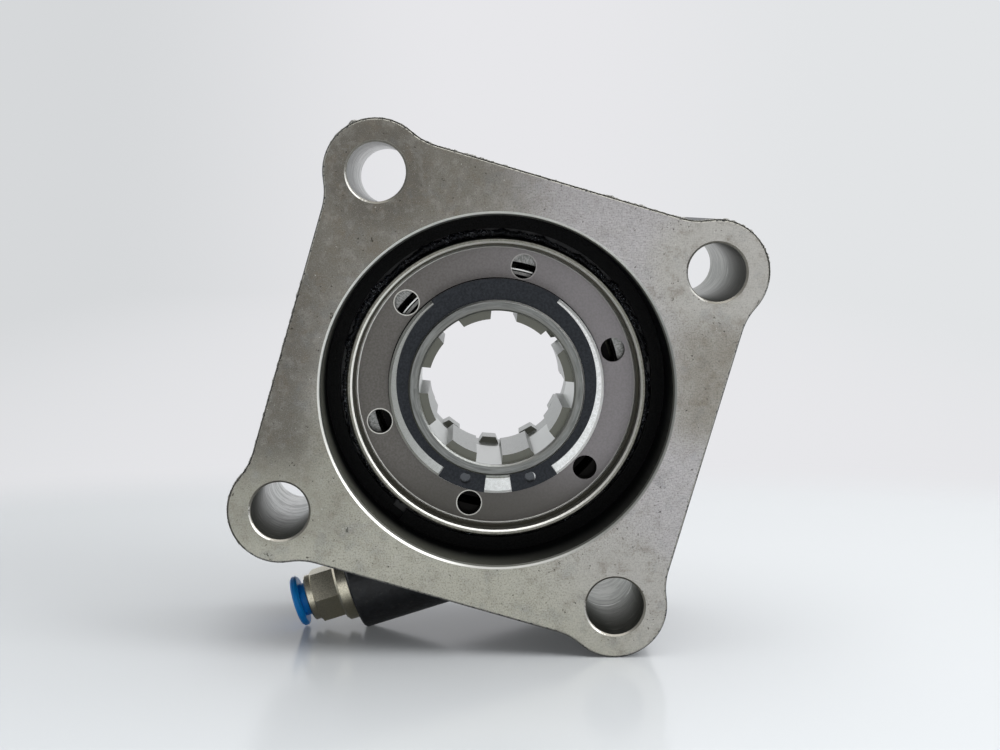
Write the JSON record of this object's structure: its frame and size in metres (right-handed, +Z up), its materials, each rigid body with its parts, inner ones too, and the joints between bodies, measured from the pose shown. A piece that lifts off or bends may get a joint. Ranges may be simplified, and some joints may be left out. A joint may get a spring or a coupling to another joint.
{
  "type": "power take off unit",
  "caption": "Air-shifted power take off unit: square pump flange with bolt holes, pilot bore, splined sleeve on a ball bearing, air boss with push-in fitting.",
  "frame": {"origin": "centre of the pilot bore on the face of the pump flange", "axes": "+Y along the shaft from the pump face into the unit, +Z up as the unit lies on a table, +X to the right as seen from the pump side"},
  "size_m": [0.1234, 0.0586, 0.1234],
  "materials": {
    "machined_casting": "machined faces, black painted sides",
    "machined_steel": "turned",
    "bearing_steel": "ground",
    "black_spring_steel": "black oxide",
    "black_rubber": "greased",
    "guide_plastic": "matte",
    "nickel_plate": "nickel plated",
    "support_plastic": "matte",
    "blue_plastic": "moulded"
  },
  "bodies": {
    "housing": {"housing": "machined_casting", "bore_snap_ring": "black_spring_steel", "gland_ring": "machined_steel", "gland_o_ring": "black_rubber", "rear_o_ring": "black_rubber", "nose_seal": "black_rubber", "return_spring": "black_spring_steel", "fitting_body": "nickel_plate", "fitting_seal": "black_rubber", "fitting_sleeve": "nickel_plate", "tube_o_ring": "black_rubber", "tube_support_ring": "support_plastic", "grip_ring": "bearing_steel"},
    "piston": {"piston": "machined_steel", "piston_seal": "black_rubber", "piston_guide_ring": "guide_plastic", "bearing_outer_race": "bearing_steel", "lock_ring": "machined_steel"},
    "sleeve": {"splined_sleeve": "machined_steel", "bearing_inner_race": "bearing_steel", "sleeve_circlip": "black_spring_steel"},
    "ball_set": {"bearing_cage": "machined_steel", "bearing_balls": "bearing_steel"},
    "release_collar": {"release_collar": "blue_plastic"}
  },
  "joints": [
    {"name": "piston_slide", "type": "slide", "parent": "housing", "child": "piston", "axis": [0, 1, 0], "range_m": [0, 0.008], "stiffness_N_per_m": 500, "springref_m": -0.02, "deforming": ["return_spring"]},
    {"name": "sleeve_spin", "type": "hinge", "parent": "piston", "child": "sleeve", "pos_m": [0, 0.0234, 0], "axis": [0, 1, 0], "continuous": true},
    {"name": "ball_set_spin", "type": "hinge", "parent": "piston", "child": "ball_set", "pos_m": [0, 0.0234, 0], "axis": [0, 1, 0], "continuous": true},
    {"name": "release_press", "type": "slide", "parent": "housing", "child": "release_collar", "axis": [0.9546, 0, 0.2978], "range_m": [0, 0.0013], "stiffness_N_per_m": 3000, "springref_m": -0.001}
  ],
  "couplings": [
    {"joint": "ball_set_spin", "follows": "sleeve_spin", "ratio": 0.44259}
  ]
}
